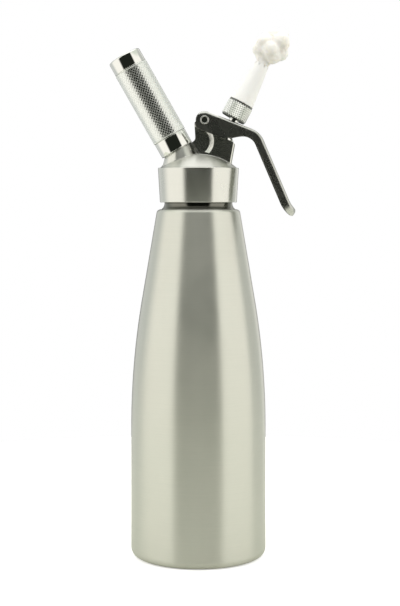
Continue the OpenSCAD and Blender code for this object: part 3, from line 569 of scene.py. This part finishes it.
def make_head():
    """Skirt and dome turned finely, joined to the tower and boss with their deburred edges."""
    rise = math.degrees(math.atan2(SEAM_Z - DOME_CENTRE, SEAM_R))
    bore_r, chamfer_r, foot_r, foot_z, shoulder_r, edge = 24.3, 24.6, 26.6, 248.9, 28.0, 0.6
    profile = ([(bore_r, foot_z + 0.4), (chamfer_r, foot_z)] + arc((foot_r, foot_z + edge), edge, -90, 0, 5)
               + [(27.9, 261)] + arc((shoulder_r, SEAM_Z - edge), edge, 0, 90, 6) + [(SEAM_R + 0.2, SEAM_Z)]
               + arc((0, DOME_CENTRE), DOME_R, rise, 89.9, 30))
    piece = turned("head_finished", profile, 192)
    valve_bore, gas_bore = 5, 6
    mark(piece, lambda x, y, z: z > SEAM_Z + 0.5 and (
        off_axis((x, y, z), NOZZLE) < valve_bore or (x < 0 and off_axis((x, y, z), HOLDER) < gas_bore)))
    bpy.ops.mesh.delete(type="VERT")
    bpy.ops.object.mode_set(mode="OBJECT")

    body = copied("head", "head_tower")
    mark(body, lambda x, y, z: (abs(off_dome((x, y, z))) < 0.03 and z > SEAM_Z - 0.05)
         or (math.hypot(x, y) > chamfer_r and z < SEAM_Z + 0.05))
    bpy.ops.mesh.select_mode(type="FACE")
    bpy.ops.mesh.delete(type="FACE")
    bpy.ops.mesh.select_mode(type="EDGE")
    bpy.ops.mesh.select_all(action="DESELECT")
    bpy.ops.mesh.edges_select_sharp(sharpness=math.radians(35))
    mark_edges(body, lambda end: end.z > SEAM_Z + 1 and off_dome(end) > 0.4)
    bpy.ops.mesh.bevel(offset=0.3 * MM, segments=3, affect="EDGES", clamp_overlap=True)
    bpy.ops.object.mode_set(mode="OBJECT")
    bead = foot_bead(body)
    flatten_shading(body, 32)
    smooth(piece, 35)
    fit(joined(piece, body, bead), "head", "head_steel", "head")


def make_lever():
    """The pressed lever with its edges broken."""
    piece = copied("lever", "pressed_lever")
    apply(piece, "BEVEL", width=0.14 * MM, segments=2, limit_method="ANGLE",
          angle_limit=math.radians(40), use_clamp_overlap=True)
    flatten_shading(piece, 40)
    fit(piece, "lever", "lever_steel", "lever")


def make_bushes():
    """Rounded rim of the bush in each cheek of the lever."""
    place = Matrix.Translation(PIVOT) @ Matrix.Rotation(math.pi / 2, 4, "X")
    points = points_of("lever_bushes", Matrix.Translation(PIVOT))
    heights = [point.y for point in points if point.y > 0]
    outside, inside = max(math.hypot(point.x, point.z) for point in points), 2.2
    inner, outer, crown = min(heights), max(heights), 0.35
    middle, half = (outside + inside) / 2, (outside - inside) / 2
    rim = [(middle + half * math.cos(a), outer - crown + crown * math.sin(a))
           for a in [math.pi * i / 10 for i in range(11)]]
    halves = []
    for side in (0, 1):
        piece = turned("bush_rims", [(outside, inner)] + rim + [(inside, inner), (outside, inner)], 64)
        settle(piece, place @ Matrix.Rotation(math.pi * side, 4, "X"))
        halves.append(piece)
    piece = joined(*halves)
    smooth(piece, 50)
    fit(piece, "lever", "bright_steel", "lever_bushes")


make_head()
make_lever()
make_bushes()


# ---------------------------------------------------------------- cartridge holder
HOLDER_R, TUBE_R, BORE_R = 12.0, 11.2, 9.8


def make_band():
    """Polished band at the foot of the holder's tube."""
    low, high = reach("holder_tube", HOLDER)
    band, edge = 10.7, 0.5
    profile = ([(BORE_R, low)] + arc((HOLDER_R - edge, low + edge), edge, -90, 0, 5)
               + arc((HOLDER_R - edge, low + band - edge), edge, 0, 90, 5)
               + [(TUBE_R, low + band), (TUBE_R, high), (BORE_R, high), (BORE_R, low + 20), (BORE_R, low)])
    piece = turned("holder_band", profile)
    settle(piece, HOLDER)
    smooth(piece, 35)
    fit(piece, "holder", "bright_steel", "holder_tube")


def make_sleeve():
    """Sleeve with two sets of fine ridges that cross, between plain rounded rims."""
    low, high = reach("grip_sleeve", HOLDER)
    radius, ground, inside, ridge = 12.4, 12.27, TUBE_R + 0.03, 0.05
    rim, edge, slope, columns, rows, pitch = 0.8, 0.4, 0.15, 216, 132, 6
    step = (high - low - 2 * rim) / rows
    profile = ([(inside, low)] + arc((radius - edge, low + edge), edge, -90, 0, 4)
               + [(radius, low + rim - slope)]
               + [(ground, low + rim + step * i) for i in range(rows + 1)]
               + [(radius, high - rim + slope)] + arc((radius - edge, high - edge), edge, 0, 90, 4)
               + [(inside, high), (inside, low)])
    piece = turned("knurled_sleeve", profile, columns)
    knurl(piece, ground, low + rim, high - rim, columns, rows, ridge,
          lambda column, row: (column + row) % pitch == 0 or (column - row) % pitch == 0)
    settle(piece, HOLDER)
    smooth(piece, 20)
    fit(piece, "holder", "knurled_steel", "grip_sleeve")


def make_cap():
    """Polished cap, hollow from below."""
    low, high = reach("holder_cap", HOLDER)
    edge, crown, top, inside = 0.5, 1.2, high - 4.7, TUBE_R + 0.03
    profile = ([(POLE, top), (inside, top), (inside, low)]
               + arc((HOLDER_R - edge, low + edge), edge, -90, 0, 5)
               + arc((HOLDER_R - crown, high - crown), crown, 0, 90, 8) + [(9.5, high), (POLE, high - 0.02)])
    piece = turned("polished_cap", profile)
    settle(piece, HOLDER)
    smooth(piece, 35)
    fit(piece, "holder", "bright_steel", "holder_cap")


make_band()
make_sleeve()
make_cap()


# ---------------------------------------------------------------- nozzle and cream
def make_adapter():
    """Knurled nut with a checker of small pyramids, and the stud on which the nozzle sits."""
    low, high = reach("nozzle_adapter", NOZZLE)
    length, radius, bore, thread_r, thread_l = 12.9, 8.8, 2.0, 3.03, 9.6
    edge, rim, pyramid, columns, rows = 0.4, 0.75, 0.45, 64, 13
    stud_r = max(math.hypot(point.x, point.y) for point in points_of("nozzle_adapter", NOZZLE)
                 if point.z > high - 0.5)
    top = low + length
    step = (length - 2 * rim) / rows
    profile = ([(thread_r, low), (radius - edge, low), (radius, low + edge)]
               + [(radius, low + rim + step * i) for i in range(rows + 1)]
               + [(radius, top - edge), (radius - edge, top), (stud_r, top), (stud_r, high - 0.3),
                  (stud_r - 0.3, high), (bore, high), (bore, top), (thread_r, low + thread_l), (thread_r, low)])
    piece = turned("knurled_nut", profile, columns)
    knurl(piece, radius, low + rim, top - rim, columns, rows, pyramid,
          lambda column, row: (column + row) % 2 == 0)
    settle(piece, NOZZLE)
    smooth(piece, 12)
    fit(piece, "valve", "knurled_steel", "nozzle_adapter", KNURLED_NUT)


make_adapter()


def make_nozzle():
    """Moulded cone with a star of notches round its mouth."""
    low, high = reach("nozzle_tip", NOZZLE)
    base, tip, wall, columns, points, notch, spread = 8.85, 5.0, 1.1, 96, 8, 2.0, 0.26
    socket = min(math.hypot(point.x, point.y) for point in points_of("nozzle_tip", NOZZLE)
                 if point.z < low + 0.2)
    slope = (base - tip) / (high - low)
    below = high - notch - 0.3
    profile = ([(socket, low), (base - 0.3, low), (base, low + 0.3)]
               + [(base - slope * (h - low), h) for h in (low + 8, low + 16, below, high - 0.15)]
               + [(tip - 0.25, high), (tip - wall + 0.15, high), (tip - wall, high - 0.15),
                  (tip - wall + slope * notch, below), (socket - 1.4, low + 9.2), (socket, low + 9.1),
                  (socket, low)])
    piece = turned("moulded_nozzle", profile, columns)

    per_notch = columns // points
    for away in range(math.ceil(spread * per_notch)):
        def at_mouth(x, y, z):
            column = round(math.atan2(y, x) / (2 * math.pi) * columns + per_notch / 2) % per_notch
            return z > high - 0.3 and min(column, per_notch - column) == away
        mark(piece, at_mouth)
        drop = notch * (1 - away / per_notch / spread)
        bpy.ops.transform.translate(value=(0, 0, -drop * MM))
    bpy.ops.object.mode_set(mode="OBJECT")
    settle(piece, NOZZLE)
    smooth(piece, 30)
    fit(piece, "valve", "nozzle_plastic", "nozzle_tip")


make_nozzle()


def make_cream():
    """A puff built from soft lobes, melted together and wrinkled."""
    mouth = reach("cream_puff", NOZZLE)[0]
    # height over the nozzle's mouth, distance across, distance deep and radius of each lobe, in mm
    lobes = [(0.6, 0, 0, 4.75), (4.5, -1.5, 0.3, 5.2), (9.0, -4.7, 1.0, 6.9), (8.8, 3.6, -2.0, 6.2),
             (13.2, 6.6, 1.0, 6.4), (15.0, -5.2, -1.5, 6.3), (11.5, 0.2, -5.0, 6.0), (12.0, 1.0, 5.4, 6.0),
             (19.6, -4.0, 2.0, 6.2), (20.0, 4.2, -2.5, 6.4), (24.2, 2.0, 0.6, 5.0), (26.0, 3.6, 1.0, 3.4)]
    parts = []
    for height, across, deep, radius in lobes:
        deselect()
        bpy.ops.mesh.primitive_ico_sphere_add(subdivisions=3, radius=radius * MM,
                                              location=(across * MM, deep * MM, (mouth + height) * MM))
        parts.append(bpy.context.object)
    piece = joined(*parts)
    piece.name = piece.data.name = "cream_swirl"
    settle(piece, UPRIGHT)
    apply(piece, "REMESH", mode="VOXEL", voxel_size=0.55 * MM)
    apply(piece, "SMOOTH", factor=0.5, iterations=24)
    for name, size, strength in (("folds", 7.0, 1.6), ("froth", 2.2, 0.5)):
        clouds = bpy.data.textures.new(name, "CLOUDS")
        clouds.noise_scale = size * MM
        apply(piece, "DISPLACE", texture=clouds, strength=strength * MM, mid_level=0.5,
              texture_coords="LOCAL")
    settle(piece, NOZZLE)
    choose(piece)
    bpy.ops.object.shade_smooth()
    fit(piece, "valve", "cream", "cream_puff")


make_cream()


# ---------------------------------------------------------------- studio
def studio():
    """White room with a dark strip before the piece and one behind it, a paler valance and a ceiling."""
    world = bpy.data.worlds.new("Studio")
    bpy.context.scene.world = world
    world.use_nodes = True
    tree = world.node_tree
    tree.nodes.clear()
    way = put(tree, "SeparateXYZ", {"Vector": put(tree, "TexCoord").outputs["Generated"]}).outputs
    azimuth = put(tree, "Math", {0: way["X"], 1: times(tree, way["Y"], -1.0)}, operation="ARCTAN2").outputs[0]
    ramp = put(tree, "ValToRGB", {"Fac": ranged(tree, azimuth, 0.0, 1.0, -math.pi, math.pi)})
    panel, dark, grey = (1.12, 1.09, 1.01), (0.016, 0.018, 0.014), (0.64, 0.66, 0.63)
    side, back = (0.60, 0.61, 0.57), (0.07, 0.075, 0.065)
    left_rim, right_rim = (0.70, 0.71, 0.69), (0.9, 0.9, 0.85)
    stops = [(-180, back), (-166, back), (-158, left_rim), (-122, grey), (-98, panel), (-47, panel),
             (-38, dark), (38, dark), (44, panel), (100, panel), (108, side), (142, side),
             (148, right_rim), (158, right_rim), (166, back), (180, back)]
    elements = ramp.color_ramp.elements
    while len(elements) < len(stops):
        elements.new(0.5)
    for element, (degrees, colour) in zip(elements, stops):
        element.position = (degrees + 180) / 360
    for element, (degrees, colour) in zip(elements, stops):
        element.color = (*colour, 0 if colour is dark else 1)

    def from_to(height, start, end):
        """Mask that rises between two heights over the horizon, in degrees."""
        return ranged(tree, height, 0.0, 1.0, math.radians(start), math.radians(end))

    lift = put(tree, "Math", {0: way["Z"]}, operation="ARCSINE").outputs[0]
    later_in_front = ranged(tree, ramp.outputs["Alpha"], math.radians(-10), 0.0)
    above = put(tree, "Math", {0: lift, 1: later_in_front}).outputs[0]
    valance = tint(tree, from_to(above, 33, 38), ramp.outputs[0], (0.76, 0.80, 0.70))
    ceiling = tint(tree, from_to(lift, 48, 55), valance, (1.45, 1.44, 1.38))
    room = put(tree, "Background", {"Color": ceiling, "Strength": 1.0})
    plain = put(tree, "Background", {"Color": (1, 1, 1, 1), "Strength": 1.0})
    seen = put(tree, "LightPath").outputs["Is Camera Ray"]
    both = put(tree, "MixShader", {0: seen, 1: room.outputs[0], 2: plain.outputs[0]})
    tree.links.new(both.outputs[0], put(tree, "OutputWorld").inputs[0])


studio()


def floor():
    """Round sheet of pale paper just under the foot ring; the camera sees it paler and glowing with a painted
    glow, reflections and bounce light see it darker and greener.
    """
    deselect()
    bpy.ops.mesh.primitive_circle_add(vertices=96, radius=0.5, fill_type="NGON", location=(0, 0, -0.1 * MM))
    piece = bpy.context.object
    piece.name = piece.data.name = "studio_floor"
    material = bpy.data.materials.new("Pale floor")
    material.use_nodes = True
    tree = material.node_tree
    tree.nodes.clear()
    seen = put(tree, "LightPath").outputs["Is Camera Ray"]
    # Painted glow: camera rays see the paper paler and lit by its own emission, other rays see it darker.
    paper = put(tree, "BsdfDiffuse", {"Color": tint(tree, seen, (0.60, 0.61, 0.54), (0.82, 0.82, 0.82))})
    glow = put(tree, "Emission", {"Color": (1, 1, 1, 1), "Strength": ranged(tree, seen, 0.0, 0.5)})
    both = put(tree, "AddShader", {0: paper.outputs[0], 1: glow.outputs[0]})
    tree.links.new(both.outputs[0], put(tree, "OutputMaterial").inputs[0])
    piece.data.materials.append(material)


floor()


def soft_light(name, place, size, power, aim=(0, 0, 0.2)):
    """Square soft light that doesn't mirror in the steel."""
    lamp = bpy.data.lights.new(name, "AREA")
    lamp.shape, lamp.size, lamp.energy, lamp.color = "SQUARE", size, power, (1.0, 0.99, 0.975)
    stand = bpy.data.objects.new(name, lamp)
    bpy.context.scene.collection.objects.link(stand)
    stand.location = place
    stand.rotation_euler = (Vector(place) - Vector(aim)).to_track_quat("Z", "Y").to_euler()
    stand.visible_glossy = False


soft_light("Left softbox", (-1.2, -0.9, 0.9), 0.8, 10)
soft_light("Right softbox", (1.2, -0.9, 0.9), 0.8, 10)
soft_light("Top softbox", (0.0, 0.3, 1.6), 1.0, 5)


def camera():
    """Level camera on the picture's own line of sight; the picture is 400 wide and 606 high."""
    focal, wide, high, axis_x, level_y = 1412.0, 400, 606, 198.4, 200.0
    distance, eye = 1.0, 0.2506
    lens = bpy.data.cameras.new("Camera")
    lens.sensor_width = 36.0
    lens.lens = focal * lens.sensor_width / high
    lens.shift_x = (wide / 2 - axis_x) / high
    lens.shift_y = (level_y - high / 2) / high
    lens.clip_start = 0.05
    stand = bpy.data.objects.new("Camera", lens)
    bpy.context.scene.collection.objects.link(stand)
    stand.location = (0, -distance, eye)
    stand.rotation_euler = (math.pi / 2, 0, 0)
    bpy.context.scene.camera = stand


camera()
scene = bpy.context.scene
scene.view_settings.view_transform = "Standard"
scene.view_settings.look = "None"
